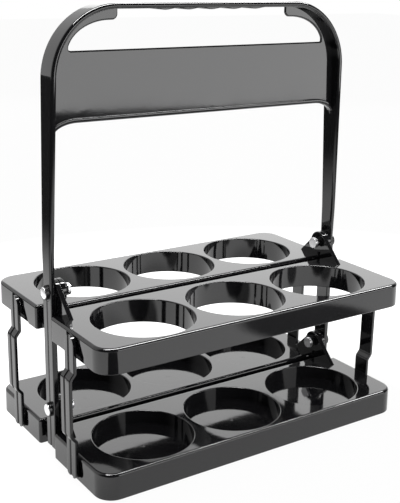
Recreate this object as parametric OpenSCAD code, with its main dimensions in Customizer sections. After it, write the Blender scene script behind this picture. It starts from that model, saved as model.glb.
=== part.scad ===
// Folding carrier for six bottles: two tiers of trays on end posts, under one hoop handle.
// Origin on the floor at the middle of the carrier. X runs along the handle, Y across the
// two rows of bottles, Z up. Every tray hangs on a pivot line above its own top face and
// swings up beside the handle; links at the tray ends keep the tiers parallel.

/* [Trays] */
// Length of every tray along the handle
tray_len = 318; // [310:1:390]
// Depth of a tray from its inner to its outer edge
tray_depth = 100; // [99:1:104]
// Gap between the front and the back tray
centre_gap = 8; // [6:0.5:14]
// Height of an upper tray
upper_drop = 21.4; // [18:0.2:26]
// Height of a lower tray
lower_drop = 23; // [20:0.5:26]
// Distance from the top face of a lower tray to that of the upper one
tier = 107; // [106:1:140]
// Thickness of the top faces and skirts
wall = 2.4; // [1.8:0.1:3]
// Radius of the outer corners seen from above
corner_r = 16; // [6:0.5:20]
// Radius of the inner corners beside the posts
inner_corner_r = 2.5; // [1:0.5:4]
// Thickness of the ribs under the top face
rib_t = 2; // [1.8:0.1:2.5]
// Width of the stop pads where the two trays of a tier meet
stop_w = 10; // [6:1:16]
// Height of the stop pads
stop_h = 6; // [4:0.5:10]

/* [Bottle openings] */
// Diameter of a bottle ring or cup
ring_d = 88; // [66:1:89]
// Distance between neighbouring openings
ring_pitch = 94; // [93:0.5:100]
// Wall of a ring or cup
ring_wall = 2.2; // [1.6:0.1:3]
// Top face left between an opening and the inner edge of the tray
inner_web = 7; // [4:0.5:8]
// Floor of a cup
cup_floor = 2; // [1.5:0.1:4]
// Height of the cup floors above the surface the carrier stands on
cup_lift = 9; // [0.5:0.5:10]
// Sloped foot between the floor and the wall of a cup
cup_foot = 1.5; // [1:0.5:4]
// Chamfer round the rim of a ring or cup
rim_edge = 0.6; // [0.4:0.1:1]

/* [Pivots] */
// Height of a pivot line above the top face of its tray
pivot_rise = 16; // [15:0.5:22]
// Outer diameter of a bush sleeve
sleeve_d = 8; // [6:0.5:10]
// Radial clearance of a bush in its post and leg
seat_clear = 0.02; // [0.01:0.01:0.05]
// Radial running clearance of an ear on its bush
ear_clear = 0.05; // [0.02:0.01:0.1]
// Diameter of a bush flange
flange_d = 12.4; // [11:0.5:14]
// Thickness of a bush flange
flange_t = 3; // [2:0.5:4]
// Length of sleeve left bare inside the ears
sleeve_tail = 4; // [0.4:0.2:6]
// Diameter of a rivet shank
shank_d = 5; // [4:0.5:6]
// Diameter of an outer rivet head
head_d = 10.4; // [9:0.2:12]
// Rise of an outer rivet head
head_rise = 1.1; // [1:0.1:2]
// Diameter of a washer under the closed end of a rivet
washer_d = 10.6; // [8:0.2:11]
// Thickness of a washer
washer_t = 1; // [0.5:0.1:1.5]
// Diameter of the closed end of a rivet
tail_d = 10.2; // [6.5:0.1:10.6]
// Thickness of the closed end of a rivet
tail_t = 1.8; // [0.8:0.1:2.4]
// Slack between riveted parts that turn against each other
side_gap = 0.2; // [0.1:0.05:0.4]

/* [Ears] */
// Thickness of an ear
ear_t = 4.2; // [4:0.2:7]
// Radius of an ear round its pivot
ear_r = 10.5; // [8:0.5:12]
// Reach of an ear foot from the middle of the carrier
ear_reach = 31; // [24:1:40]

/* [Posts] */
// Width of a post
post_w = 16; // [14:0.5:17]
// Thickness of a post and of a handle leg
post_t = 5; // [4.5:0.5:6]
// Set-back of the posts behind the tray ends
post_inset = 4; // [3.5:0.5:6]
// Width of the notch between the trays that clears a post
pocket_w = 29; // [26:0.5:34]
// Clear height under a post
post_foot = 3.4; // [0.5:0.1:4]
// Width of the line down the middle of a post
post_line = 1.2; // [0.6:0.1:2]
// Depth of that line
line_depth = 0.6; // [0.3:0.1:1]

/* [Links] */
// Width of a link
link_w = 16; // [12:0.5:18]
// Thickness of a link
link_t = 3; // [2.5:0.1:4]
// Distance from the top face of a tray down to its link pin
pin_drop = 10; // [9:0.5:12]
// Outward step of the middle of a link
joggle = 4.2; // [3.5:0.1:6]
// Length of a link end before the step
link_end = 32; // [28:1:36]
// Reach of a link below its lower pin
link_foot = 10.5; // [8:0.5:12]
// Radius of the corners at the lower end of a link
foot_r = 4; // [2:0.5:7]
// Height of the step
joggle_rise = 5; // [4:0.5:8]
// Gap between a link and the tray end
link_gap = 0.3; // [0.2:0.05:0.5]
// Diameter of a link stud
stud_d = 7; // [5:0.5:8]
// Diameter of the snap head of a stud
snap_d = 8.6; // [8:0.2:10]
// Thickness of a snap head
snap_t = 1.2; // [0.8:0.1:1.6]
// Radial clearance of an upper stud
stud_clear = 0.05; // [0.02:0.01:0.1]
// Radial clearance of a lower stud
stud_slack = 0.3; // [0.2:0.05:0.5]
// Width of the groove down a link
groove_w = 4; // [2:0.5:6]
// Depth of the groove down a link
groove_d = 0.8; // [0.4:0.1:1.2]
// Thickness of a tray end where a stud passes
pad_t = 4; // [3.5:0.5:6]
// Width of that thick end
pad_w = 54; // [50:1:60]
// Depth of the recess beside a link
recess_t = 1.5; // [0.8:0.1:2]

/* [Handle] */
// Height of the grip above the upper trays
handle_rise = 250; // [230:1:300]
// Inset of the upper legs behind their feet
leg_lean = 4.5; // [0:0.5:8]
// Radius of the hoop corners
hoop_r = 60; // [40:1:70]
// Thickness of the hoop band
band_t = 4.8; // [4:0.2:7]
// Width of the band along the grip, which stays clear of the bottles on both sides
band_w = 22; // [19:0.5:22]
// Width of the band at the foot of a leg
leg_w = 14.8; // [13:0.2:16]
// Thickness of the web inside the hoop
web_t = 3; // [2:0.5:5]
// Height of the upper edge of the web above the upper trays
web_top = 213; // [200:1:216]
// Height of the lower edge of the web above the upper trays
web_low = 156; // [140:1:170]
// Height and width of the rim along the lower edge of the web
web_rim = 4; // [3:0.5:6]
// Radius of the web where it runs down into a leg
web_fillet = 22; // [12:1:26]
// Half length of the grip between its corner gussets
grip_half = 86; // [70:1:88]
// Width of the hoop and web left beside the hand opening
cheek_w = 14; // [10:1:20]
// Radius of the gusset ends beside the grip
gusset_r = 5; // [3:0.5:8]
// Number of finger waves
wave_count = 5; // [3:1:7]
// Depth of the finger waves under the grip
wave_d = 1.2; // [0.6:0.1:2]
// Length of one finger wave
wave_len = 23; // [20:0.5:26]

/* [Hidden] */
$fn = 96;

// Levels above the floor
low_top = lower_drop;
up_top = low_top + tier;
low_pivot = low_top + pivot_rise;
up_pivot = up_top + pivot_rise;
grip_top = up_top + handle_rise;

// Stations along X, measured outward from the middle
end_face = tray_len / 2;
post_face = end_face - post_inset;
post_back = post_face - post_t;
outer_ear = post_back - side_gap;
inner_ear = outer_ear - ear_t - side_gap;
sleeve_end = inner_ear - ear_t - sleeve_tail;
flange_face = post_face + flange_t;
link_in = end_face + link_gap;
pocket_end = post_back - 1;

// Places across Y, measured outward from the middle
inner_edge = centre_gap / 2;
outer_edge = inner_edge + tray_depth;
ring_row = inner_edge + inner_web + ring_d / 2;
pin_row = (inner_edge + outer_edge) / 2;
lap_t = (post_t - side_gap) / 2;
end_rib = ring_d / 4;
recess_in = link_w / 2 + 2;
link_top = link_w / 2;
eps = 0.01;

// Height above the upper trays from which the legs lean in, clear of the folded ears
lean_from = pivot_rise + ear_reach + 4;
shoulder_z = handle_rise - hoop_r;

// Turns a shape drawn in the XY plane to stand across X, drawn x along Y and drawn y along Z
module across_x() { rotate([90, 0, 90]) children(); }

// Turns a shape drawn in the XY plane to stand across Y, drawn x along X and drawn y along Z
module across_y(width) {
    translate([0, width / 2, 0]) rotate([90, 0, 0]) linear_extrude(width) children();
}

// Cylinder along X between two stations, at a height
module pin_x(from, to, d, y, z) {
    translate([from, y, z]) rotate([0, 90, 0]) cylinder(d = d, h = to - from);
}

// Plan outline of the front tray, set in by a distance from its edges
module plan(inset) {
    x = end_face - inset;
    y_in = inner_edge + inset;
    y_out = outer_edge - inset;
    r = max(corner_r - inset, 1);
    q = max(inner_corner_r - inset, 0.4);
    px = pocket_end - inset;
    py = pocket_w / 2 + inset;
    translate([-x, -y_out + r]) square([2 * x, y_out - r - py - q]);
    translate([-x + r, -y_out]) square([2 * (x - r), y_out - y_in]);
    for (s = [-1, 1]) {
        translate([s * (x - r), -y_out + r]) circle(r);
        translate([s * (x - q), -py - q]) circle(q);
    }
    translate([-x + q, -py - q]) square([2 * (x - q), 2 * q - eps]);
    translate([-px, -py]) square([2 * px, py - y_in]);
}

// Places a copy at each of the three openings of the front row
module openings() {
    for (k = [-1, 0, 1]) translate([k * ring_pitch, -ring_row, 0]) children();
}

// Hole for a bottle from the top face down, with a chamfered rim and a sloped foot
module bottle_hole(depth, foot) {
    r = ring_d / 2;
    rotate_extrude() polygon([[0, -depth], [r - foot, -depth], [r, -depth + foot], [r, -rim_edge],
                              [r + 2 * rim_edge, rim_edge], [0, rim_edge]]);
}

// Ear outline in the YZ plane: a round head on the pivot with a slanted flank to its foot
module ear_outline() {
    // the flank runs just inside the tangent, so that it meets the head at a clean edge
    r = ear_r - 0.2;
    reach = norm([ear_reach, pivot_rise]);
    turn = atan2(pivot_rise, ear_reach) + asin(r / reach);
    tangent = sqrt(reach * reach - r * r);
    touch = [-ear_reach + tangent * cos(turn), tangent * sin(turn)];
    translate([0, pivot_rise]) circle(ear_r);
    polygon([[-ear_reach, -wall], [-ear_reach, 0], touch, [0, pivot_rise],
             [-inner_edge, 0], [-inner_edge, -wall]]);
    // the head runs down to the inner edge of the tray
    polygon([[-ear_r, pivot_rise], [-inner_edge + 6, pivot_rise],
             [-inner_edge, 0], [-inner_edge, -wall], [-ear_r, -wall]]);
}

// One ear between two stations on one side
module ear(side, station) {
    x = side > 0 ? station - ear_t : -station;
    difference() {
        translate([x, 0, 0]) across_x() linear_extrude(ear_t) ear_outline();
        pin_x(x - 1, x + ear_t + 1, sleeve_d + 2 * ear_clear, 0, pivot_rise);
    }
}

// Recess beside a link of an upper tray, open at the bottom and widening towards it
module fan_recess() {
    top = -recess_in - 2.5;
    low = top - 11.5;
    polygon([[recess_in, -wall], [top, -wall], [low, -upper_drop - 1], [recess_in, -upper_drop - 1]]);
}

// Recess beside a link of a lower tray, closed at the bottom
module round_recess() {
    low = -lower_drop + 5;
    bulge = [8, 6];
    polygon(concat([[recess_in, -wall], [-recess_in - 3, -wall]],
                   oval([1 - recess_in, low + bulge[1]], -bulge[0], bulge[1], 30, -75, 7),
                   [[recess_in, low]]));
}

// Everything that upper and lower trays share, with the top face at height zero
module tray_body(drop) {
    // top face
    difference() {
        translate([0, 0, -wall]) linear_extrude(wall) plan(0);
        openings() translate([0, 0, -wall - 1]) cylinder(d = ring_d, h = wall + 2);
    }
    // skirt
    translate([0, 0, -drop]) linear_extrude(drop - wall / 2) difference() {
        plan(0);
        plan(wall);
    }
    // cross ribs between the openings
    for (s = [-1, 1]) translate([s * ring_pitch / 2 - rib_t / 2, -outer_edge + wall / 2, -drop + 3])
        cube([rib_t, tray_depth - wall, drop - 3 - wall / 2]);
    // end ribs
    for (s = [-1, 1], y = [-ring_row - end_rib, -ring_row + end_rib]) {
        from = ring_pitch + sqrt(pow(ring_d / 2 + ring_wall / 2, 2) - end_rib * end_rib);
        translate([s > 0 ? from : -end_face + wall / 2, y - rib_t / 2, -drop + 5])
            cube([end_face - wall / 2 - from, rib_t, drop - 5 - wall / 2]);
    }
    // thick ends that carry the link studs
    for (s = [-1, 1]) translate([s > 0 ? end_face - pad_t : -end_face, -pin_row - pad_w / 2, -drop])
        cube([pad_t, pad_w, drop - wall / 2]);
    // stop pads that meet those of the opposite tray
    for (s = [-1, 1]) translate([s * ring_pitch / 2 - stop_w / 2, -inner_edge - wall / 2, -drop])
        cube([stop_w, wall / 2 + inner_edge - side_gap / 2, stop_h]);
    // ears, the left one outside that of the opposite tray and the right one inside it
    ear(-1, outer_ear);
    ear(1, inner_ear);
}

// Stud holes in both ends
module stud_holes(clear) {
    for (s = [-1, 1])
        pin_x(s > 0 ? end_face - pad_t - 1 : -end_face - 1,
              s > 0 ? end_face + 1 : -end_face + pad_t + 1,
              stud_d + 2 * clear, -pin_row, -pin_drop);
}

// Cuts a recess outline into both ends; the right end is the left one turned half round
module end_recess() {
    for (s = [-1, 1]) translate([s * end_face, -pin_row, 0]) rotate([0, 0, s > 0 ? 180 : 0])
        translate([-1, 0, 0]) across_x() linear_extrude(1 + recess_t) children();
}

module upper_tray() {
    translate([0, 0, up_top]) difference() {
        union() {
            tray_body(upper_drop);
            openings() translate([0, 0, -upper_drop]) cylinder(d = ring_d + 2 * ring_wall, h = upper_drop - wall / 2);
        }
        openings() bottle_hole(upper_drop + 1, 0);
        stud_holes(stud_clear);
        end_recess() fan_recess();
    }
}

module lower_tray() {
    bottom = -lower_drop + cup_lift;
    translate([0, 0, low_top]) difference() {
        union() {
            tray_body(lower_drop);
            openings() translate([0, 0, bottom]) cylinder(d = ring_d + 2 * ring_wall, h = -bottom - wall / 2);
        }
        openings() bottle_hole(-bottom - cup_floor, cup_foot);
        stud_holes(stud_slack);
        end_recess() round_recess();
    }
}

// Joggled section of a link in the XZ plane, drawn for the right side from its inner face
module link_section(shift, thick) {
    top = link_top;
    a = top - link_end;
    b = a - joggle_rise;
    d = -tier - link_top + link_end;
    e = -tier - link_foot;
    c = d + joggle_rise;
    x0 = shift;
    x1 = shift + joggle;
    polygon([[x0, top], [x0, a], [x1, b], [x1, c], [x0, d], [x0, e],
             [x0 + thick, e], [x0 + thick, d], [x1 + thick, c], [x1 + thick, b],
             [x0 + thick, a], [x0 + thick, top]]);
}

// Link with its studs for the right side, upper pin at height zero and Y zero
module link_shape() {
    difference() {
        intersection() {
            translate([link_in, 0, 0]) across_y(link_w) link_section(0, link_t);
            // round over the upper pin, squarer below the lower one
            translate([link_in - 1, 0, 0]) across_x() linear_extrude(joggle + link_t + 2) {
                circle(d = link_w);
                translate([-link_w / 2, -tier]) square([link_w, tier]);
                hull() for (s = [-1, 1]) {
                    translate([s * (link_w / 2 - foot_r), foot_r - tier - link_foot]) circle(foot_r);
                    translate([s * (link_w / 2 - foot_r), foot_r - tier]) circle(foot_r);
                }
            }
        }
        // groove down the outer face
        intersection() {
            translate([link_in, 0, 0]) across_y(groove_w) link_section(link_t - groove_d, 2 * link_t);
            translate([link_in - 1, -groove_w, -tier + 2]) cube([joggle + 3 * link_t, 2 * groove_w, tier - 4]);
        }
    }
    // studs with their snap heads behind the tray end
    snap_face = end_face - pad_t - side_gap;
    for (z = [0, -tier]) {
        pin_x(snap_face - snap_t, link_in + link_t / 2, stud_d, 0, z);
        pin_x(snap_face - snap_t, snap_face, snap_d, 0, z);
    }
}

module link(side, row) {
    translate([0, row * pin_row, up_top - pin_drop]) rotate([0, 0, side > 0 ? 0 : 180]) link_shape();
}

// Post for the right side
module post() {
    difference() {
        union() {
            translate([post_back, -post_w / 2, post_foot])
                cube([post_t, post_w, up_pivot - post_foot]);
            pin_x(post_back, post_back + lap_t, leg_w, 0, up_pivot);
        }
        // lap for the handle leg
        pin_x(post_back + lap_t, post_face + 1, leg_w + 2 * side_gap, 0, up_pivot);
        translate([post_back + lap_t, -post_w, up_pivot]) cube([post_t, 2 * post_w, leg_w]);
        translate([post_back - 1, -post_w, up_pivot]) difference() {
            cube([post_t, 2 * post_w, leg_w]);
            translate([0, post_w, 0]) rotate([0, 90, 0]) cylinder(d = leg_w, h = post_t);
        }
        // line down the middle
        translate([post_face - line_depth, -post_line / 2, -1]) cube([1, post_line, up_pivot]);
        // bores for the bushes
        for (z = [low_pivot, up_pivot]) pin_x(post_back - 1, post_face + 1, sleeve_d + 2 * seat_clear, 0, z);
    }
}

// Points on an ellipse between two angles
function oval(centre, a, b, from, to, steps) =
    [for (i = [0:steps]) let (t = from + (to - from) * i / steps)
        [centre[0] + a * cos(t), centre[1] + b * sin(t)]];

// Outer face of a leg at a height above the upper trays
function leg_out(z) = post_face - leg_lean * max(0, z - lean_from) / (shoulder_z - lean_from);

// Outer outline of the hoop, set in by a distance, heights above the upper trays
module hoop(inset) {
    foot = post_face - inset;
    r = hoop_r - inset;
    right = concat([[foot, pivot_rise], [foot, lean_from]],
                   oval([leg_out(shoulder_z) - hoop_r, shoulder_z], r, r, 0, 90, 24));
    left = [for (i = [len(right) - 1:-1:0]) [-right[i][0], right[i][1]]];
    polygon(concat(right, left));
}

// Hand opening above the web: flat below, oval shoulders and rounded gusset ends beside the grip
module hand_hole() {
    under = handle_rise - band_t;
    sunk = 4;
    shoulder = [grip_half + gusset_r + 2, web_top - sunk];
    a = leg_out(shoulder_z) - band_t - cheek_w - shoulder[0];
    b = under - web_top - gusset_r;
    right = concat([[0, web_top]], oval(shoulder, a, b, asin(sunk / b), 90, 16),
                   oval([grip_half + gusset_r, under - sunk], gusset_r, gusset_r, 270, 180, 6),
                   [[grip_half, under + eps]]);
    left = [for (i = [len(right) - 1:-1:1]) [-right[i][0], right[i][1]]];
    polygon(concat(right, left));
}

// Opening between the legs below the web, with rounded upper corners
module leg_gap() {
    low = post_face - band_t;
    high = leg_out(web_low) - band_t;
    r = web_fillet;
    right = concat([[low, pivot_rise - 20], [low, lean_from]],
                   oval([high - r, web_low - r / 2], r, r / 2, 0, 90, 12));
    left = [for (i = [len(right) - 1:-1:0]) [-right[i][0], right[i][1]]];
    polygon(concat(right, left));
}

// Waves for the fingers under the grip
module waves() {
    under = handle_rise - band_t;
    half = wave_count * wave_len / 2;
    points = [for (i = [0:wave_count * 8]) let (x = -half + i * wave_len / 8)
        [x, under - wave_d * (1 - cos(360 * (x + half) / wave_len)) / 2]];
    polygon(concat(points, [[half, under + 1], [-half, under + 1]]));
}

module handle_shape() {
    translate([0, 0, up_top]) {
        // band of the hoop, tapering down the legs
        intersection() {
            across_y(band_w) difference() {
                hoop(0);
                hoop(band_t);
                translate([-post_face, pivot_rise - 1]) square([2 * post_face, 1 + eps]);
            }
            translate([-post_face - 1, 0, 0]) across_x() linear_extrude(2 * post_face + 2)
                polygon([[-leg_w / 2, pivot_rise], [leg_w / 2, pivot_rise],
                         [band_w / 2, handle_rise - hoop_r], [band_w / 2, handle_rise + 1],
                         [-band_w / 2, handle_rise + 1], [-band_w / 2, handle_rise - hoop_r]]);
        }
        // round feet on the pivots
        for (s = [-1, 1]) pin_x(s > 0 ? post_face - post_t : -post_face, s > 0 ? post_face : -post_face + post_t,
                                leg_w, 0, pivot_rise);
        // web
        across_y(web_t) difference() {
            hoop(band_t / 2);
            hand_hole();
            leg_gap();
        }
        // finger waves
        across_y(band_w - 2) waves();
        // rim along the lower edge of the web
        across_y(2 * web_rim - 1) intersection() {
            difference() {
                translate([0, web_rim]) leg_gap();
                leg_gap();
            }
            hoop(band_t / 2);
            translate([-post_face, web_low - web_fillet / 2]) square([2 * post_face, web_fillet]);
        }
    }
}

module handle() {
    difference() {
        handle_shape();
        for (s = [-1, 1]) {
            // lap for the post, inboard half of the foot
            x = s > 0 ? post_back - 1 : -post_back - lap_t - side_gap;
            pin_x(x, x + 1 + lap_t + side_gap, leg_w + 2 * side_gap, 0, up_pivot);
            translate([x, -leg_w, up_pivot - leg_w]) cube([1 + lap_t + side_gap, 2 * leg_w, leg_w]);
            // bore for the bush
            pin_x(s > 0 ? post_back - 1 : -post_face - 1, s > 0 ? post_face + 1 : -post_back + 1,
                  sleeve_d + 2 * seat_clear, 0, up_pivot);
        }
    }
}

// Bush for the right side at height zero
module bush_shape() {
    difference() {
        union() {
            pin_x(sleeve_end, flange_face, sleeve_d, 0, 0);
            pin_x(post_face + 0.05, flange_face, flange_d, 0, 0);
        }
        pin_x(sleeve_end - 1, flange_face + 1, shank_d + 0.1, 0, 0);
    }
}

// Rivet for the right side at height zero: domed head, shank and closed end
module rivet_shape() {
    tail = sleeve_end - washer_t;
    head = oval([0, 0], head_d / 2, head_rise, 0, 90, 8);
    pin_x(tail - 0.1, flange_face + 0.1, shank_d, 0, 0);
    translate([flange_face + 2 * eps, 0, 0]) rotate([0, 90, 0]) rotate_extrude() polygon(concat([[0, 0]], head));
    pin_x(tail - tail_t, tail - 2 * eps, tail_d, 0, 0);
}

// Washer for the right side at height zero
module washer_shape() {
    difference() {
        pin_x(sleeve_end - washer_t, sleeve_end - 2 * eps, washer_d, 0, 0);
        pin_x(sleeve_end - washer_t - 1, sleeve_end + 1, shank_d + 0.1, 0, 0);
    }
}

// Puts a right-hand shape on a pivot: side -1 is left, 1 is right
module on_pivot(side, z) {
    translate([0, 0, z]) rotate([0, 0, side > 0 ? 0 : 180]) children();
}

black = "#1b1b1d";
silver = "#d5d7da";

color(black) handle();
color(black) rotate([0, 0, 180]) post();  // post_left
color(black) post();  // post_right
color(black) upper_tray();  // upper_tray_front
color(black) rotate([0, 0, 180]) upper_tray();  // upper_tray_back
color(black) lower_tray();  // lower_tray_front
color(black) rotate([0, 0, 180]) lower_tray();  // lower_tray_back
color(black) link(-1, -1);  // link_front_left
color(black) link(1, -1);  // link_front_right
color(black) link(-1, 1);  // link_back_left
color(black) link(1, 1);  // link_back_right
color(black) on_pivot(-1, up_pivot) bush_shape();  // bush_upper_left
color(black) on_pivot(1, up_pivot) bush_shape();  // bush_upper_right
color(black) on_pivot(-1, low_pivot) bush_shape();  // bush_lower_left
color(black) on_pivot(1, low_pivot) bush_shape();  // bush_lower_right
color(silver) on_pivot(-1, up_pivot) rivet_shape();  // rivet_upper_left
color(silver) on_pivot(1, up_pivot) rivet_shape();  // rivet_upper_right
color(silver) on_pivot(-1, low_pivot) rivet_shape();  // rivet_lower_left
color(silver) on_pivot(1, low_pivot) rivet_shape();  // rivet_lower_right
color(silver) on_pivot(-1, up_pivot) washer_shape();  // washer_upper_left
color(silver) on_pivot(1, up_pivot) washer_shape();  // washer_upper_right
color(silver) on_pivot(-1, low_pivot) washer_shape();  // washer_lower_left
color(silver) on_pivot(1, low_pivot) washer_shape();  // washer_lower_right
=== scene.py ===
import math
import bpy
import bmesh
import numpy as np
from mathutils import Matrix, Vector
from mathutils.geometry import delaunay_2d_cdt


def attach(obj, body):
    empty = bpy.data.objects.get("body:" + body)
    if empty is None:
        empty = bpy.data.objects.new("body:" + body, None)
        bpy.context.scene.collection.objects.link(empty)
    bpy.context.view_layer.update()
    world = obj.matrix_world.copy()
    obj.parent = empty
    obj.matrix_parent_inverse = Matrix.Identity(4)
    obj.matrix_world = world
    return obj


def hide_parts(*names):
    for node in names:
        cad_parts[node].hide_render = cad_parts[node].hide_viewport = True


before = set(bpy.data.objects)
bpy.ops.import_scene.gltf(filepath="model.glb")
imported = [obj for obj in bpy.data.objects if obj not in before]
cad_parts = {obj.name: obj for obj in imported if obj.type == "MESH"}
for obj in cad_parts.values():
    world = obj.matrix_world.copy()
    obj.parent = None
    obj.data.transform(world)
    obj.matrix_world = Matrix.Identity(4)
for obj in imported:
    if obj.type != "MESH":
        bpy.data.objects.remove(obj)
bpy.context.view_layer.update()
print("frame loaded,", len(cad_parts), "nodes")

# Lengths are in millimetres until a mesh is written, then in metres.
# X runs along the handle, the front row is at -Y, and Z is the height above the floor.

quarter = math.pi / 2
fullTurn = 2 * math.pi

# Heights of the two rivet lines, their rise over the tray tops, the radii bored for bushes and studs, and how
# far a tool for a cut reaches past the faces that it cuts
pivot = {"upper": 146, "lower": 39, "rise": 16, "earBore": 4.05, "postBore": 4.03, "studBore": 3.55, "past": 1}

# Welding distances in metres, the margin of a cap inside its edge, the steps of a rounded edge, the angle in
# degrees from which an edge stays sharp, and the weight of large faces in the shading
making = {"weld": 2e-6, "sliver": 1e-7, "capTolerance": 1e-7, "capMargin": 0.15, "edgeSteps": 5,
          "crease": 32, "flatWeight": 80}


# A loop through corners (x, y, radius), set in by a distance: each corner slides along its mitre, and its arc
# keeps the same number of points whatever the distance
def cornerLoop(corners, inset, points=9):
    c = np.array(corners, float)
    p = c[:, :2]
    out = np.roll(p, -1, 0) - p
    out /= np.linalg.norm(out, axis=1)[:, None]
    back = np.roll(out, 1, 0)
    cross = back[:, 0] * out[:, 1] - back[:, 1] * out[:, 0]
    turn = np.sign(cross)
    n1 = np.stack([back[:, 1], -back[:, 0]], 1)
    n2 = np.stack([out[:, 1], -out[:, 0]], 1)
    p = p - inset * (n1 + n2) / (1 + (n1 * n2).sum(1))[:, None]
    r = np.maximum(c[:, 2] - inset * turn, 0.03)  # no corner is ever quite sharp
    half = np.arctan2(np.abs(cross), (back * out).sum(1)) / 2
    start = p - back * (r * np.tan(half))[:, None]
    centre = start - n1 * (r * turn)[:, None]
    a0 = np.arctan2(start[:, 1] - centre[:, 1], start[:, 0] - centre[:, 0])
    a = a0[:, None] + 2 * (half * turn)[:, None] * np.linspace(0, 1, points)
    x = centre[:, :1] + r[:, None] * np.cos(a)
    y = centre[:, 1:] + r[:, None] * np.sin(a)
    return np.stack([x.ravel(), y.ravel()], 1)


# Any closed loop moved towards its material: each point goes along the mean of its two edge normals,
# stretched by the corner's half angle
def movedLoop(loop, inset):
    out = np.roll(loop, -1, 0) - loop
    out /= np.linalg.norm(out, axis=1)[:, None]
    n2 = np.stack([out[:, 1], -out[:, 0]], 1)
    n1 = np.roll(n2, 1, 0)
    stretch = np.maximum(1 + (n1 * n2).sum(1), 0.3)  # held at a hairpin
    return loop - inset * (n1 + n2) / stretch[:, None]


# A flat loop lifted to one height
def atLevel(loop, z):
    return np.column_stack([loop, np.full(len(loop), z)])


# A half outline on the right and its mirror image on the left, as one loop
def mirrored(right):
    return np.vstack([right, right[::-1] * [-1, 1]])


# Quads between closed rings stacked from the top face outwards and down
def strip(rings):
    rings = np.asarray(rings, float)
    m, n = rings.shape[:2]
    k, j = np.meshgrid(np.arange(m - 1), np.arange(n), indexing="ij")
    a = k * n + j
    b = k * n + (j + 1) % n
    faces = np.stack([a, a + n, b + n, b], -1).reshape(-1, 4)
    return rings.reshape(-1, 3), faces.tolist()


# A strip whose first and last rings are closed by one flat face each
def closedStrip(rings):
    order = list(range(rings.shape[1]))
    return [strip(rings), (rings[0], [order]), (rings[-1], [order[::-1]])]


# Which points lie inside a closed loop: an edge is crossed by the ray towards +X where it spans the point's
# height and meets that height further right, and an odd count is inside
def insideLoop(points, loop):
    a, b = loop, np.roll(loop, -1, 0)
    px, py = points[:, :1], points[:, 1:]
    spans = (a[:, 1] > py) != (b[:, 1] > py)
    rise = np.where(b[:, 1] == a[:, 1], 1, b[:, 1] - a[:, 1])
    x = a[:, 0] + (py - a[:, 1]) * (b[:, 0] - a[:, 0]) / rise
    return (spans & (x > px)).sum(1) % 2 == 1


# Flat face between an outer loop and its holes, from a constrained triangulation
def cap(loops, z, up=True):
    edges = []
    start = 0
    for loop in loops:
        n = len(loop)
        edges += [(start + i, start + (i + 1) % n) for i in range(n)]
        start += n
    points = [Vector(p) for p in np.vstack(loops).tolist()]
    verts, _, faces, _, _, _ = delaunay_2d_cdt(points, edges, [], 1, making["capTolerance"])
    v = np.array([(p.x, p.y, z) for p in verts])
    f = np.array([list(t) for t in faces])
    middle = v[f][:, :, :2].mean(1)
    keep = insideLoop(middle, loops[0])
    for hole in loops[1:]:
        keep &= ~insideLoop(middle, hole)
    f = f[keep] if up else f[keep][:, ::-1]
    return v, f.tolist()


# Insets and heights of a rounded top edge, a wall and a rounded bottom edge: quarter circles of the edge radius
def edgeProfile(z0, z1, edge):
    a = np.linspace(0, quarter, making["edgeSteps"] + 1)
    rim = edge + making["capMargin"]
    top = [(rim, z1)] + [(edge - edge * math.sin(t), z1 - edge + edge * math.cos(t)) for t in a]
    low = [(edge - edge * math.sin(t), z0 + edge - edge * math.cos(t)) for t in a[::-1]] + [(rim, z0)]
    return top + low


# Plate with rounded edges: every loop, outer or hole, carries the same edge profile between the two caps
def slab(loops, z0, z1, edge, place=None):
    profile = edgeProfile(z0, z1, edge)
    chunks = [strip([atLevel(movedLoop(loop, d), z) for d, z in profile]) for loop in loops]
    chunks.append(cap([movedLoop(loop, profile[0][0]) for loop in loops], z1))
    chunks.append(cap([movedLoop(loop, profile[-1][0]) for loop in loops], z0, False))
    return placed(chunks, place)


# Axes for a plate drawn flat: its x, y and thickness go along these three directions from the origin given
def across(axis, origin=(0, 0, 0)):
    columns = {"x": ((0, 1, 0), (0, 0, 1), (1, 0, 0)), "y": ((1, 0, 0), (0, 0, 1), (0, -1, 0))}[axis]
    return np.array(columns, float).T, np.array(origin, float)


# Each point turned by the axes and moved to their origin
def placed(chunks, place):
    if place is None:
        return chunks
    turn, origin = place
    return [(v @ turn.T + origin, f) for v, f in chunks]


# Block with its sides on the axes, for ribs and pads
def block(x0, x1, y0, y1, z0, z1, edge, corner=0.7):
    loop = cornerLoop([(x0, y0, corner), (x1, y0, corner), (x1, y1, corner), (x0, y1, corner)], 0, 4)
    return slab([loop], z0, z1, edge)


# Cylinder along X from a point, as a tool for a bore: a circle at each (radius, distance) of its profile
def bore(x, y, z, radius, length, points=48):
    profile = np.array([(0, 0), (radius, 0), (radius, length), (0, length)], float)
    a = np.linspace(0, fullTurn, points, endpoint=False)
    r, h = profile[:, :1], profile[:, 1:]
    rings = np.stack([r * np.cos(a), r * np.sin(a), np.repeat(h, points, 1)], -1)
    return placed([strip(rings)], across("x", (x, y, z)))


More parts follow.
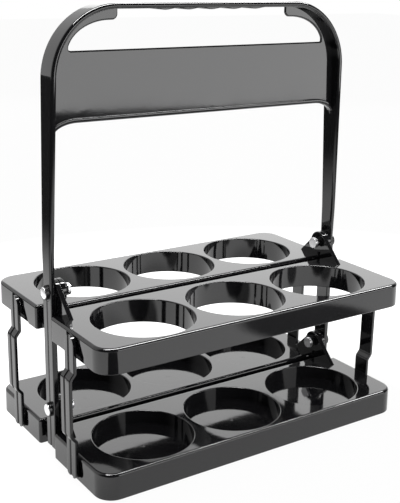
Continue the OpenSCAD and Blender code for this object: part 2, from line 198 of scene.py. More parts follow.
# Rounded rectangle section carried along a path in the XZ plane: the path is the outer face's middle, the
# thickness goes to its right and the width across it
def carried(path, thick, width, edge):
    path = np.asarray(path, float)
    n = len(path)
    thick = np.broadcast_to(thick, n).astype(float)[:, None]
    width = np.broadcast_to(width, n).astype(float)[:, None]
    ahead = np.gradient(path, axis=0)
    ahead /= np.linalg.norm(ahead, axis=1)[:, None]
    side = np.stack([ahead[:, 1], -ahead[:, 0]], 1)
    a = np.linspace(0, quarter, making["edgeSteps"] + 1)
    inward, sideways = [], []
    # around the section: the near face's two corners, then the far face's two
    for sign, far in ((-1, False), (1, False), (1, True), (-1, True)):
        t = a if (sign < 0) != far else a[::-1]
        u = edge - edge * np.sin(t)
        inward.append(thick - u if far else np.broadcast_to(u, (n, len(u))))
        sideways.append(sign * (width / 2 - (edge - edge * np.cos(t))))
    u = np.concatenate(inward, 1)
    w = np.concatenate(sideways, 1)
    return closedStrip(np.stack([path[:, :1] + side[:, :1] * u, w, path[:, 1:] + side[:, 1:] * u], -1))


# The same shape turned half round about the Z axis
def halfTurn(chunks):
    return [(v * np.array([-1, -1, 1]), f) for v, f in chunks]


# Writes chunks of vertices and faces as one welded mesh in metres with outward faces
def meshObject(name, chunks):
    verts, faces = [], []
    start = 0
    for v, f in chunks:
        verts.append(v)
        faces += [[i + start for i in face] for face in f]
        start += len(v)
    mesh = bpy.data.meshes.new(name)
    mesh.from_pydata((np.vstack(verts) / 1000).tolist(), [], faces)
    bm = bmesh.new()
    bm.from_mesh(mesh)
    bmesh.ops.remove_doubles(bm, verts=bm.verts, dist=making["weld"])
    bmesh.ops.dissolve_degenerate(bm, edges=bm.edges, dist=making["sliver"])
    bmesh.ops.recalc_face_normals(bm, faces=bm.faces)
    bm.to_mesh(mesh)
    bm.free()
    obj = bpy.data.objects.new(name, mesh)
    bpy.context.scene.collection.objects.link(obj)
    return obj


# Joins closed shapes into one skin, trims it to the common shape, takes the cuts out of it, and shades it
# smooth up to a crease angle
def piece(name, solids, cuts=(), common=()):
    base = meshObject(name, solids[0])
    tools = []
    for kind, group in (("UNION", solids[1:]), ("INTERSECT", common), ("DIFFERENCE", cuts)):
        for chunks in group:
            tool = meshObject(f"{name}_tool", chunks)
            tools.append(tool)
            mod = base.modifiers.new(kind, "BOOLEAN")
            mod.operation = kind
            mod.solver = "MANIFOLD"
            mod.object = tool
    dg = bpy.context.evaluated_depsgraph_get()
    base.data = bpy.data.meshes.new_from_object(base.evaluated_get(dg))
    base.modifiers.clear()
    for tool in tools:
        bpy.data.objects.remove(tool)
    bm = bmesh.new()
    bm.from_mesh(base.data)
    bmesh.ops.remove_doubles(bm, verts=bm.verts, dist=making["weld"])
    openEdges = sum(1 for e in bm.edges if len(e.link_faces) != 2)
    bm.to_mesh(base.data)
    bm.free()
    base.data.polygons.foreach_set("use_smooth", np.ones(len(base.data.polygons), bool))
    base.data.set_sharp_from_angle(angle=math.radians(making["crease"]))
    even = base.modifiers.new("evenNormals", "WEIGHTED_NORMAL")
    even.keep_sharp = True
    even.weight = making["flatWeight"]
    base.data.name = name
    print("made", name, len(base.data.polygons), "faces,", openEdges, "open edges")
    return base


# Trays: one moulding, drawn as the front row, serves the back row turned half round
tray = {
    "length": 318, "inner": 4, "outer": 104, "wall": 2.4, "cornerRadius": 16, "innerRadius": 2.5,
    "pocketX": 149, "pocketY": 14.5, "pocketRadius": 0.6, "middleRadius": 1,
    "edge": 2.6, "footEdge": 0.9, "flare": 0.6, "capMargin": 0.2,
    "upperTop": 130, "upperDrop": 21.4, "lowerTop": 23, "lowerDrop": 23,
    "ribHalf": 1, "ribLift": 3, "padDepth": 4, "padSkin": 0.6, "padSpan": (-81, -27), "padLift": 0.2,
    "stopHalf": 5, "stopGap": 0.15, "stopLift": 0.1, "stopHigh": 6, "innerEdge": 0.3, "stopEdge": 0.4,
}
# Openings: "floor" and "sole" are the cup floor's two faces, and "mark" is the small moulding mark in its middle,
# as (radius, depth)
ring = {"radius": 44, "wall": 2.2, "pitch": 94, "row": 55, "rim": 0.9, "points": 112, "chamfer": 0.6,
        "lip": 0.7, "lipStep": 0.2, "floor": 11, "floorIn": 1, "sole": 9, "soleIn": 1.5,
        "mark": [(1.6, 0), (1.45, 0.12), (0, 0.14)]}
ear = {"thick": 4.2, "outerFace": 149.8, "innerFace": 145.4, "radius": 10.5, "reach": 31, "edge": 0.7,
       "sweep": 250, "points": 40, "inner": 3.9, "shoulder": 3.6, "sunk": 2}
# Places for the links in the tray ends: "cup" and "ring" hold the height of the lower side above the tray's foot,
# and four corners as (distance from the link's middle, radius), the lower two first
notch = {"deep": 1.5, "past": 2, "edge": 0.25, "studDrop": 10, "studLength": 9, "studFrom": {-1: 4.4, 1: 4.6},
         "cup": (5, [(-17, 6), (10, 1), (10, 0.6), (-13.2, 2)]),
         "ring": (-3, [(-25.5, 0.6), (10, 0.6), (10, 0.6), (-12.5, 3)])}
ringCentres = [(k * ring["pitch"], -ring["row"]) for k in (-1, 0, 1)]


# A circle run clockwise, so that its outward side is the hole's own middle
def holeLoop(centre, radius):
    a = -np.linspace(0, fullTurn, ring["points"], endpoint=False)
    return np.stack([centre[0] + radius * np.cos(a), centre[1] + radius * np.sin(a)], 1)


# Outline seen from above, with a step at both inner corners that leaves room for the posts
def trayCorners():
    x, y, r = tray["length"] / 2, -tray["outer"], tray["cornerRadius"]
    px, py, pr = tray["pocketX"], -tray["pocketY"], tray["pocketRadius"]
    q, yi, m = tray["innerRadius"], -tray["inner"], tray["middleRadius"]
    return [(-x, y, r), (x, y, r), (x, py, q), (px, py, pr), (px, yi, m), (-px, yi, m), (-px, py, pr), (-x, py, q)]


# Outer skin of a tray: the edge profile round its outline, leaning out along the long outer side
def traySkin(top, drop):
    e, b, w = tray["edge"], tray["footEdge"], tray["wall"]
    a = np.linspace(0, quarter, 7)
    outer = [(e + tray["capMargin"], 0)] + [(e - e * math.sin(t), -e + e * math.cos(t)) for t in a]
    outer += [(b - b * math.sin(t), -drop + b - b * math.cos(t)) for t in a[::-1]]
    corners = trayCorners()
    plan = cornerLoop(corners, 0)
    straight = tray["outer"] - ring["row"] - tray["cornerRadius"]
    outside = np.clip((-plan[:, 1] - ring["row"]) / straight, 0, 1)
    rings = []
    for inset, z in outer:
        loop = cornerLoop(corners, inset)
        loop[:, 1] += outside * tray["flare"] * (1 + z / drop)
        rings.append(atLevel(loop, top + z))
    inner = cornerLoop(corners, w)
    return rings + [atLevel(inner, top - drop), atLevel(inner, top - w)]


# A tray's shell: the skin, the walls of its three openings, and the flat faces between them above and below
def trayBody(top, drop, cup):
    rings = traySkin(top, drop)
    r, rim, chamfer = ring["radius"], ring["rim"], ring["chamfer"]
    mouth, outside = r + rim + tray["capMargin"], r + ring["wall"]
    foot, under = ring["sole"] if cup else top - drop, top - tray["wall"]
    a = np.linspace(0, quarter, 6)
    inner = [(mouth, top)] + [(r + rim - rim * math.sin(t), top - rim + rim * math.cos(t)) for t in a]
    outer = [(outside - chamfer, foot), (outside, foot + chamfer), (outside, under)]
    if cup:
        floor = ring["floor"]
        inner += [(r, floor), (r - ring["floorIn"], floor)] + [(at, floor - down) for at, down in ring["mark"]]
        walls = [inner, [(0, foot), (r - ring["soleIn"], foot)] + outer]
    else:
        lip, step = ring["lip"], ring["lipStep"]
        walls = [inner + [(r, foot + lip), (r + step, foot + step), (r + lip, foot)] + outer]
    chunks = [strip(rings)]
    for c in ringCentres:
        chunks += [strip([atLevel(holeLoop(c, radius), z) for radius, z in wall]) for wall in walls]
    chunks.append(cap([rings[0][:, :2]] + [holeLoop(c, mouth) for c in ringCentres], top))
    chunks.append(cap([rings[-1][:, :2]] + [holeLoop(c, outside) for c in ringCentres], under, False))
    return chunks


# Ear outline in the YZ plane: the head's arc from the flank's tangent point round to the inner side, then the
# foot. The tangent point's angle is the direction to the flank's foot less the angle whose cosine is radius/distance
def earLoop(z):
    r, reach, rise, inner, sunk = ear["radius"], ear["reach"], pivot["rise"], ear["inner"], ear["sunk"]
    first = math.atan2(-rise, -reach) - math.acos(r / math.hypot(reach, rise))
    a = np.linspace(first, first - math.radians(ear["sweep"]), ear["points"])
    arc = np.stack([r * np.cos(a), rise + r * np.sin(a)], 1)
    arc = arc[(arc[:, 1] > ear["shoulder"]) | (arc[:, 0] < 0)]
    foot = [[-inner, 0], [-inner, -sunk], [-reach, -sunk], [-reach, 0]]
    return np.vstack([arc, foot])[::-1] + [0, z]


# Ribs between the openings, pads behind the link pins and stop pads on the inner edge
def trayInside(top, drop):
    w, foot = tray["wall"], top - drop
    under, edge = top - w / 2, tray["innerEdge"]
    innerSide = -tray["inner"] - w / 2
    solids = []
    for s in (-1, 1):
        x, end = s * ring["pitch"] / 2, tray["length"] / 2
        solids.append(block(x - tray["ribHalf"], x + tray["ribHalf"], -tray["outer"] + w / 2, innerSide,
                            foot + tray["ribLift"], under, edge))
        x0, x1 = sorted((s * (end - tray["padDepth"]), s * (end - tray["padSkin"])))
        solids.append(block(x0, x1, *tray["padSpan"], foot + tray["padLift"], under, edge))
        solids.append(block(x - tray["stopHalf"], x + tray["stopHalf"], innerSide, -tray["stopGap"],
                            foot + tray["stopLift"], foot + tray["stopHigh"], tray["stopEdge"]))
    return solids


# Places for the links, their stud holes, and the bores through the ears
def trayCuts(top, drop, cup):
    y = -link["row"]
    lift, corners = notch["cup" if cup else "ring"]
    low, high = lift - drop + top, top - tray["wall"]
    left = cornerLoop([(u, z, r) for (u, r), z in zip(corners, (low, low, high, high))], 0, 6)
    cuts = []
    for s, loop in ((-1, left), (1, (left * [-1, 1])[::-1])):
        x = s * tray["length"] / 2
        lo, hi = sorted((x - s * notch["deep"], x + s * notch["past"]))
        cuts.append(slab([loop + [y, 0]], lo, hi, notch["edge"], across("x")))
        cuts.append(bore(x - notch["studFrom"][s], y, top - notch["studDrop"], pivot["studBore"],
                         notch["studLength"], 32))
    past = pivot["past"]
    for x in (-ear["outerFace"], ear["innerFace"] - ear["thick"]):
        cuts.append(bore(x - past, 0, top + pivot["rise"], pivot["earBore"], ear["thick"] + 2 * past))
    return cuts


# One tray, a ring tray or a cup tray, with both its ears
def trayPiece(name, top, drop, cup, back):
    loop, t = earLoop(top), ear["thick"]
    solids = [trayBody(top, drop, cup)]
    for x0, x1 in ((-ear["outerFace"], -ear["outerFace"] + t), (ear["innerFace"] - t, ear["innerFace"])):
        solids.append(slab([loop], x0, x1, ear["edge"], across("x")))
    solids += trayInside(top, drop)
    cuts = trayCuts(top, drop, cup)
    if back:
        solids, cuts = [halfTurn(c) for c in solids], [halfTurn(c) for c in cuts]
    return piece(name, solids, cuts)


# Handle: a band carried up the legs and over the grip, and the web between the legs. The finger waves start from
# "waveHalf" on either side. "holeFoot" is the hand hole's foot, as (back from the ellipse's end, above the web)
hoop = {"top": 380, "face": 155, "lean": 4.5, "leanFrom": 181, "radius": 60, "thick": 4.8, "gripWidth": 22,
        "footWidth": 14.8, "edge": 2.2, "footDeep": 5, "footEdge": 0.6, "footPoints": 64,
        "waveHalf": 57.5, "wavePitch": 23, "waveDeep": 0.6, "waveSunk": 2, "waveIn": 2, "waveEdge": 0.9,
        "wavePoints": 81}
web = {"thick": 3, "low": 286, "top": 343, "fillet": 22, "rim": 4, "rimWidth": 7, "rimEdge": 1.2, "edge": 1.3,
       "tailDrop": 3, "tailIn": 0.6, "gripHalf": 86, "gussetRadius": 5, "gussetDrop": 4,
       "holeIn": 14, "holeStart": 7, "holeSunk": 4, "holeUnder": 5, "holeFoot": ((2.6, 0), (0.9, 0.7)),
       "holeSkip": 0.12, "holePast": 0.3, "rimFrom": 0.25}
# Half lap of handle and post under the upper bush: the post's tab is so deep, with a gap round the handle's foot
lap = {"deep": 2.4, "gap": 0.2, "edge": 0.02, "boreLength": 8}


# Outer face of the hoop, from the right foot over the top to the left: the leg's lean grows evenly with height,
# and the shoulder is a quarter circle
def hoopPath():
    face, r, lean, low = hoop["face"], hoop["radius"], hoop["lean"], hoop["leanFrom"]
    high = hoop["top"] - r
    z = np.concatenate([np.linspace(pivot["upper"], low, 4), np.linspace(low, high, 12)[1:]])
    leg = np.stack([face - lean * np.clip((z - low) / (high - low), 0, 1), z], 1)
    a = np.linspace(0, quarter, 25)[1:]
    shoulder = np.stack([face - lean - r + r * np.cos(a), high + r * np.sin(a)], 1)
    return mirrored(np.vstack([leg, shoulder]))


# Inner face of the leaning leg at the height of the web's lower edge
def legInner():
    share = (web["low"] - hoop["leanFrom"]) / (hoop["top"] - hoop["radius"] - hoop["leanFrom"])
    return hoop["face"] - hoop["lean"] * share - hoop["thick"]


# Web's lower corner on the right: a quarter ellipse, the fillet wide and half as high
def lowCorner(first, count):
    f, a = web["fillet"], np.linspace(first, quarter, count)
    return np.stack([legInner() - f + f * np.cos(a), web["low"] - f / 2 + f / 2 * np.sin(a)], 1)


# Web outline: it reaches into the band by three quarters of its thickness, and follows the shoulder's quarter circle
def webOutline():
    r, short, inner = hoop["radius"], hoop["thick"] / 4, legInner()
    z = web["low"] - web["fillet"] / 2 - web["tailDrop"]
    tail = [[inner + web["tailIn"], z], [inner + 3 * short, z]]
    a = np.linspace(0, quarter, 20)
    x = hoop["face"] - hoop["lean"] - r + (r - short) * np.cos(a)
    arc = np.stack([x, hoop["top"] - r + (r - short) * np.sin(a)], 1)
    return mirrored(np.vstack([lowCorner(0, 17)[::-1], tail, arc]))


# Hand hole, right half: its foot on the web, a quarter ellipse at the shoulder and the gusset's quarter circle
def handHole():
    under, g = hoop["top"] - hoop["thick"], web["gripHalf"]
    x, z = g + web["holeStart"], web["top"] - web["holeSunk"]
    wide = hoop["face"] - hoop["lean"] - hoop["thick"] - web["holeIn"] - x
    high = under - web["top"] - web["holeUnder"]
    first = math.asin(web["holeSunk"] / high)
    end = x + wide * math.cos(first)
    foot = [[end - back, web["top"] + lift] for back, lift in web["holeFoot"]]
    a = np.linspace(first + web["holeSkip"], quarter, 20)
    shoulder = np.stack([x + wide * np.cos(a), z + high * np.sin(a)], 1)
    r, a = web["gussetRadius"], np.linspace(3 * quarter, math.pi, 9)[1:]
    gusset = np.stack([g + r + r * np.cos(a), under - web["gussetDrop"] + r * np.sin(a)], 1)
    return mirrored(np.vstack([foot, shoulder, gusset, [[g, under + web["holePast"]]]]))


# Circle about the upper rivet line in the YZ plane
def footDisc(radius):
    a = np.linspace(0, fullTurn, hoop["footPoints"], endpoint=False)
    return np.stack([radius * np.cos(a), pivot["upper"] + radius * np.sin(a)], 1)


# Hoop, feet, web with its hand hole, the rim along the web's lower edge and the finger waves
def handlePiece():
    path, up = hoopPath()[::-1], pivot["upper"]
    share = np.clip((path[:, 1] - up) / (hoop["top"] - hoop["radius"] - up), 0, 1)
    width = hoop["footWidth"] + (hoop["gripWidth"] - hoop["footWidth"]) * share
    solids = [carried(path, hoop["thick"], width, hoop["edge"])]
    r = hoop["footWidth"] / 2
    for s in (-1, 1):
        lo, hi = sorted((s * (hoop["face"] - hoop["footDeep"]), s * hoop["face"]))
        solids.append(slab([footDisc(r)], lo, hi, hoop["footEdge"], across("x")))
    half = web["thick"] / 2
    solids.append(slab([webOutline(), handHole()[::-1]], -half, half, web["edge"], across("y")))
    solids.append(carried(mirrored(lowCorner(web["rimFrom"], 14)), web["rim"], web["rimWidth"], web["rimEdge"]))
    # finger waves under the grip: one cosine for each pitch
    x = np.linspace(-hoop["waveHalf"], hoop["waveHalf"], hoop["wavePoints"])
    wave = hoop["waveDeep"] * (1 - np.cos(fullTurn * (x + hoop["waveHalf"]) / hoop["wavePitch"]))
    level = hoop["top"] - hoop["thick"] + hoop["waveSunk"]
    solids.append(carried(np.stack([x, np.full(len(x), level)], 1), hoop["waveSunk"] + wave,
                          hoop["gripWidth"] - hoop["waveIn"], hoop["waveEdge"]))
    # the feet's inboard half makes room for the posts
    r += lap["gap"]
    room = np.vstack([footDisc(r)[:hoop["footPoints"] // 2 + 1], [[-r, up - r], [r, up - r]]])
    cuts = []
    for s in (-1, 1):
        lo, hi = sorted((s * (post["back"] - pivot["past"]), s * (post["back"] + lap["deep"] + lap["gap"])))
        cuts.append(slab([room], lo, hi, lap["edge"], across("x")))
        x = s * post["back"] - (pivot["past"] if s > 0 else lap["boreLength"] - pivot["past"])
        cuts.append(bore(x, 0, up, pivot["postBore"], lap["boreLength"]))
    return piece("handle_moulding", solids, cuts)


# End posts, drawn for the right end, with a line down the middle of the outer face
post = {"back": 150, "face": 155, "width": 16, "foot": 3.4, "edge": 1.0, "groove": 1.3, "grooveDeep": 0.7,
        "grooveSlope": 0.5, "lipRadius": 0.3, "grooveRadius": 0.2, "endEdge": 0.15, "above": 0.1, "tabDrop": 12,
        "tabIn": 0.02, "tabEdge": 0.3, "roomSide": 3, "roomHigh": 9}


# A grooved bar with a half-round tab at its upper end
def postPiece(name, s):
    b, f, up, e = post["back"], post["face"], pivot["upper"], post["edge"]
    w, g = post["width"] / 2, post["groove"] / 2
    lip, deep, lr, gr = g + post["grooveSlope"], f - post["grooveDeep"], post["lipRadius"], post["grooveRadius"]
    section = cornerLoop([(b, -w, e), (f, -w, e), (f, -lip, lr), (deep, -g, gr), (deep, g, gr), (f, lip, lr),
                          (f, w, e), (b, w, e)], 0, 6)
    solids = [slab([section], post["foot"], up + post["above"], post["endEdge"])]
    # the tab that reaches up behind the handle's foot
    r, low = hoop["footWidth"] / 2, up - post["tabDrop"]
    a = np.linspace(0, math.pi, 40)
    tab = np.vstack([np.stack([r * np.cos(a), up + r * np.sin(a)], 1), [[-r, low], [r, low]]])
    solids.append(slab([tab], b + post["tabIn"], b + lap["deep"], post["tabEdge"], across("x")))
    # room for the handle's foot in front of the tab
    r += lap["gap"]
    side, high = r + post["roomSide"], up + post["roomHigh"]
    room = np.vstack([footDisc(r)[hoop["footPoints"] // 2:],
                      [[r, up], [side, up], [side, high], [-side, high], [-side, up]]])
    past = pivot["past"]
    cuts = [slab([room], b + lap["deep"], f + past, lap["edge"], across("x"))]
    cuts += [bore(b - past, 0, z, pivot["postBore"], lap["boreLength"]) for z in (pivot["lower"], up)]
    if s < 0:
        solids, cuts = [halfTurn(c) for c in solids], [halfTurn(c) for c in cuts]
    return piece(name, solids, cuts)


# Jogged links, drawn for the right end: two ribs with a groove between them
link = {"face": 159.3, "thick": 3, "width": 16, "row": 54, "top": 120, "bottom": 13, "end": 32, "reach": 10.5,
        "footRadius": 4, "step": 5, "joggle": 4.2, "bend": 1.6, "groove": 4, "grooveDeep": 0.8, "grooveSlope": 0.4,
        "lipRadius": 0.4, "grooveRadius": 0.3, "edge": 0.8, "backEdge": 0.5, "spare": 2, "trimEdge": 0.05,
        "trimDeep": 10}


# The section goes down the jogged line, whose knots are rounded by quadratic curves between points one bend
# away on either side. The outline seen from the end then trims it to its round top and squarer foot
def linkPiece(name, s, row):
    t, w, g, e, b = link["thick"], link["width"] / 2, link["groove"] / 2, link["edge"], link["backEdge"]
    lip, deep, lr, gr = g + link["grooveSlope"], t - link["grooveDeep"], link["lipRadius"], link["grooveRadius"]
    section = cornerLoop([(0, -w, b), (t, -w, e), (t, -lip, lr), (deep, -g, gr), (deep, g, gr), (t, lip, lr),
                          (t, w, e), (0, w, b)], 0, 6)
    high, low, foot = link["top"] + w, link["bottom"] - w, link["bottom"] - link["reach"]
    end, step, jog = link["end"], link["step"], link["joggle"]
    knots = np.array([(0, high + link["spare"]), (0, high - end), (jog, high - end - step),
                      (jog, low + end + step), (0, low + end), (0, foot - link["spare"])], float)
    path = [knots[:1]]
    q = np.linspace(0, 1, 6)[:, None]
    for before, p, after in zip(knots, knots[1:], knots[2:]):
        u, v = before - p, after - p
        u, v = (p + link["bend"] * d / np.linalg.norm(d) for d in (u, v))
        path.append(u * (1 - q) ** 2 + 2 * p * q * (1 - q) + v * q ** 2)
    path = np.vstack(path + [knots[-1:]])
    ahead = np.gradient(path, axis=0)
    ahead /= np.linalg.norm(ahead, axis=1)[:, None]
    x = link["face"] + path[:, :1] - ahead[:, 1:] * section[:, 0]
    z = path[:, 1:] + ahead[:, :1] * section[:, 0]
    bar = closedStrip(np.stack([x, np.broadcast_to(section[:, 1], x.shape), z], -1))
    r, q = w - 0.01, link["footRadius"]  # just short of a half circle at the top
    outline = cornerLoop([(-w, foot, q), (w, foot, q), (w, high, r), (-w, high, r)], 0, 16)
    trim = slab([outline], link["face"] - pivot["past"], link["face"] + link["trimDeep"], link["trimEdge"],
                across("x"))
    obj = piece(name, [bar], common=[trim])
    turn = Matrix.Rotation(math.pi, 4, "Z") if s < 0 else Matrix.Identity(4)
    obj.data.transform(Matrix.Translation((0, row / 1000, 0)) @ turn)
    return obj


pieces = {}


# Ties a piece to the CAD node that it stands for, which is hidden, and to its body
def use(obj, node, body):
    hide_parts(node)
    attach(obj, body)
    pieces[obj.name] = obj


for row, back in (("front", False), ("back", True)):
    use(trayPiece(f"ring_tray_{row}", tray["upperTop"], tray["upperDrop"], False, back),
        f"upper_tray_{row}", f"upper_tray_{row}")
    use(trayPiece(f"cup_tray_{row}", tray["lowerTop"], tray["lowerDrop"], True, back),
        f"lower_tray_{row}", f"lower_tray_{row}")
print("trays made")
use(handlePiece(), "handle", "frame")
print("handle made")
for side, s in (("left", -1), ("right", 1)):
    use(postPiece(f"end_post_{side}", s), f"post_{side}", "frame")
    for row, y in (("front", -link["row"]), ("back", link["row"])):
        use(linkPiece(f"jogged_link_{row}_{side}", s, y), f"link_{row}_{side}", f"link_{row}_{side}")
print("posts and links made")


# Adds a shader node: its settings, and for each input a plain value or the output that feeds it
def addNode(tree, kind, inputs=(), **settings):
    node = tree.nodes.new("ShaderNode" + kind)
    for key, value in settings.items():
        setattr(node, key, value)
    for key, value in dict(inputs).items():
        if isinstance(value, bpy.types.NodeSocket):
            tree.links.new(value, node.inputs[key])
        else:
            node.inputs[key].default_value = value
    return node


# Inputs of a Map Range node from its four limits
def limits(value, *four):
    return {"Value": value, **dict(zip(("From Min", "From Max", "To Min", "To Max"), four))}


def newMaterial(name):
    mat = bpy.data.materials.new(name)
    mat.use_nodes = True
    return mat, mat.node_tree, mat.node_tree.nodes["Principled BSDF"]


# "gloss" and "bush" are the least roughness and the strength of the ripple
plastic = {"gloss": (0.04, 0.05), "bush": (0.22, 0.3), "colour": (0.009, 0.009, 0.010, 1), "ior": 1.55,
           "hazeScale": 22, "hazeDetail": 5, "hazeFrom": (0.35, 0.75), "hazeGain": 2.2,
           "peelScale": 160, "peelDetail": 2, "peelHigh": 0.0002}


# Glossy black moulding: near-black body colour, a faint orange-peel ripple and handling haze in the roughness
def blackPlastic(name, roughness, ripple):
    mat, tree, bsdf = newMaterial(name)
    bsdf.inputs["Base Color"].default_value = plastic["colour"]
    bsdf.inputs["IOR"].default_value = plastic["ior"]
    coord = addNode(tree, "TexCoord").outputs["Object"]
    haze = addNode(tree, "TexNoise", {"Vector": coord, "Scale": plastic["hazeScale"], "Detail": plastic["hazeDetail"]})
    span = addNode(tree, "MapRange", limits(haze.outputs["Fac"], *plastic["hazeFrom"], roughness,
                                            roughness * plastic["hazeGain"]))
    tree.links.new(span.outputs["Result"], bsdf.inputs["Roughness"])
    peel = addNode(tree, "TexNoise", {"Vector": coord, "Scale": plastic["peelScale"], "Detail": plastic["peelDetail"]})
    bump = addNode(tree, "Bump", {"Height": peel.outputs["Fac"], "Strength": ripple, "Distance": plastic["peelHigh"]})
    tree.links.new(bump.outputs["Normal"], bsdf.inputs["Normal"])
    return mat


zinc = {"colour": (0.90, 0.90, 0.91, 1), "grainScale": 400, "roughness": (0.26, 0.46)}


# Bright zinc with a fine grain in its roughness
def brightSteel(name):
    mat, tree, bsdf = newMaterial(name)
    bsdf.inputs["Base Color"].default_value = zinc["colour"]
    bsdf.inputs["Metallic"].default_value = 1
    coord = addNode(tree, "TexCoord").outputs["Object"]
    noise = addNode(tree, "TexNoise", {"Vector": coord, "Scale": zinc["grainScale"]})
    span = addNode(tree, "MapRange", limits(noise.outputs["Fac"], 0, 1, *zinc["roughness"]))
    tree.links.new(span.outputs["Result"], bsdf.inputs["Roughness"])
    return mat


gloss = blackPlastic("glossBlack", *plastic["gloss"])
bushBlack = blackPlastic("bushBlack", *plastic["bush"])
steel = brightSteel("brightSteel")
for obj in pieces.values():
    obj.data.materials.clear()
    obj.data.materials.append(gloss)
for name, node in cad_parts.items():
    mat = steel if name.startswith(("rivet", "washer")) else bushBlack if name.startswith("bush") else gloss
    for slotItem in node.material_slots:
        slotItem.material = mat
print("materials set")

# Camera of the photo: place in metres, angles in degrees, and lens in millimetres on a sensor of the given width
view = {"place": (-0.46787, -0.68747, 0.4101), "yaw": -34.17, "pitch": 16.88, "roll": 1.06, "lens": 85.17,
        "sensor": 36}


# Looks along the yaw and pitch, then rolls about that line
def setCamera():
    yaw, pitch, roll = (math.radians(view[k]) for k in ("yaw", "pitch", "roll"))
    ahead = Vector((-math.sin(yaw) * math.cos(pitch), math.cos(yaw) * math.cos(pitch), -math.sin(pitch)))
    right = Vector((math.cos(yaw), math.sin(yaw), 0))
    up = right.cross(ahead)
    x = right * math.cos(roll) + up * math.sin(roll)
    y = up * math.cos(roll) - right * math.sin(roll)
    data = bpy.data.cameras.new("camera")
    data.sensor_fit = "HORIZONTAL"
    data.sensor_width = view["sensor"]
    data.lens = view["lens"]
    cam = bpy.data.objects.new("camera", data)
    cam.matrix_world = Matrix.Translation(view["place"]) @ Matrix((x, y, -ahead)).transposed().to_4x4()
    bpy.context.scene.collection.objects.link(cam)
    bpy.context.scene.camera = cam


# Floor, in metres. "fade" is near and far distance from the middle with the levels there, and each dim place is
# its middle, near and far distance, and the share of light left in it
paper = {"half": 6, "colour": (0.86, 0.86, 0.86, 1), "roughness": 0.9, "glow": 0.96,
         "middle": (0.05, -0.1, 0), "fade": (0.45, 1.1, 1.6, 0.06),
         "dimPlaces": [((-0.22, -0.4, 0), 0.14, 0.17, 0.02), ((0.27, -0.37, 0), 0.07, 0.1, 0.1),
                       ((-0.25, -0.24, 0), 0.08, 0.13, 0.15), ((0.02, -0.05, 0), 0.17, 0.27, 0.62)]}


# Level that goes smoothly from one value to another with the distance from a point
def fadeFrom(tree, coord, place, *four):
    away = addNode(tree, "VectorMath", {0: coord, 1: place}, operation="DISTANCE")
    return addNode(tree, "MapRange", limits(away.outputs["Value"], *four),
                   interpolation_type="SMOOTHSTEP").outputs["Result"]


# The floor shows plain white to the camera, and to a gloss it shows the lit middle that fades into the room
def setFloor():
    h = paper["half"]
    mesh = bpy.data.meshes.new("floor")
    mesh.from_pydata([(-h, -h, 0), (h, -h, 0), (h, h, 0), (-h, h, 0)], [], [(0, 1, 2, 3)])
    floor = bpy.data.objects.new("floor", mesh)
    bpy.context.scene.collection.objects.link(floor)
    mat, tree, bsdf = newMaterial("floorPaper")
    bsdf.inputs["Base Color"].default_value = paper["colour"]
    bsdf.inputs["Roughness"].default_value = paper["roughness"]
    coord = addNode(tree, "TexCoord").outputs["Object"]
    dim = fadeFrom(tree, coord, paper["middle"], *paper["fade"])
    for place, near, far, least in paper["dimPlaces"]:
        spot = fadeFrom(tree, coord, place, near, far, least, 1)
        dim = addNode(tree, "Math", {0: dim, 1: spot}, operation="MULTIPLY").outputs[0]
    ray = addNode(tree, "LightPath").outputs
    level = addNode(tree, "Math", {0: ray["Is Camera Ray"], 1: dim}, operation="MAXIMUM")
    glow = addNode(tree, "Emission", {"Strength": level.outputs[0]})
    share = addNode(tree, "Math", {0: ray["Is Camera Ray"], 1: paper["glow"], 2: ray["Is Glossy Ray"]},
                    operation="MULTIPLY_ADD")
    mix = addNode(tree, "MixShader", {"Fac": share.outputs[0], 1: bsdf.outputs[0], 2: glow.outputs[0]})
    tree.links.new(mix.outputs[0], tree.nodes["Material Output"].inputs["Surface"])
    mesh.materials.append(mat)


# "wall" is how the level mirrored in a gloss rises with the direction's Y, and "even" the light all round
room = {"wall": (-0.1, 0.45, 0.04, 1.0), "even": 0.25}


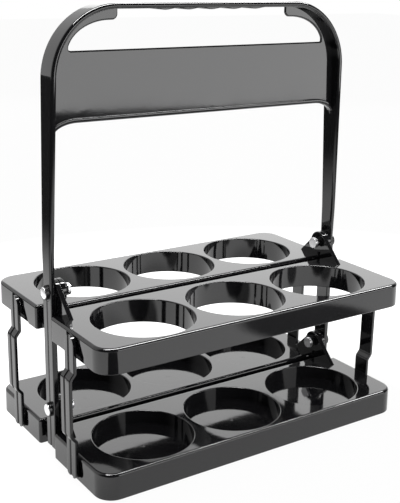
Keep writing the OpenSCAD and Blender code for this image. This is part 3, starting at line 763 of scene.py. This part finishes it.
# White to the camera, a soft even light, and to a gloss a bright wall behind that falls off to a dim room in front
def setWorld():
    world = bpy.data.worlds.new("studio")
    bpy.context.scene.world = world
    world.use_nodes = True
    tree = world.node_tree
    split = addNode(tree, "SeparateXYZ", {0: addNode(tree, "TexCoord").outputs["Generated"]})
    rise = addNode(tree, "MapRange", limits(split.outputs["Y"], *room["wall"]), interpolation_type="SMOOTHSTEP")
    ray = addNode(tree, "LightPath").outputs
    mirror = addNode(tree, "Mix", {0: ray["Is Glossy Ray"], 2: room["even"], 3: rise.outputs["Result"]},
                     data_type="FLOAT")
    level = addNode(tree, "Math", {0: mirror.outputs[0], 1: ray["Is Camera Ray"]}, operation="MAXIMUM")
    back = tree.nodes["Background"]
    back.inputs["Color"].default_value = (1, 1, 1, 1)
    tree.links.new(level.outputs[0], back.inputs["Strength"])


# Lamps: place and aim in metres, size, brightness of the face and roll in degrees. One that doesn't light is
# seen in reflections only, and one that doesn't reflect only lights
lamps = {
    "softboxSky": ((0.3, -0.2, 1.5), (0, 0, 0), (1.2, 1.2), 2.6, 0, True, False),
    "softboxTop": ((0.45, -0.1, 1.45), (0.45, -0.1, 0), (2.2, 0.3), 36, 0, False, True),
    "softboxBack": ((1.15, 1.7, 0.72), (0, 0, 0.12), (2.4, 0.9), 1.2, 0, True, True),
    "softboxFront": ((0.58, -0.86, 0.312), (0.58, 0, 0.312), (1.0, 0.34), 3.8, -2, True, True),
}


# A soft lamp whose power gives its face the wanted brightness: brightness times pi times its area
def softbox(name, place, aim, size, bright, roll, lights, reflects):
    data = bpy.data.lights.new(name, "AREA")
    data.shape = "RECTANGLE"
    data.size, data.size_y = size
    data.energy = bright * math.pi * size[0] * size[1]
    lamp = bpy.data.objects.new(name, data)
    turn = (Vector(aim) - Vector(place)).to_track_quat("-Z", "Y").to_matrix()
    turn = turn @ Matrix.Rotation(math.radians(roll), 3, "Z")
    lamp.matrix_world = Matrix.Translation(place) @ turn.to_4x4()
    lamp.visible_camera = False
    lamp.visible_diffuse, lamp.visible_glossy = lights, reflects
    bpy.context.scene.collection.objects.link(lamp)


setCamera()
setFloor()
setWorld()
for name, values in lamps.items():
    softbox(name, *values)
bpy.context.scene.view_settings.view_transform = "Standard"
print("stage set")
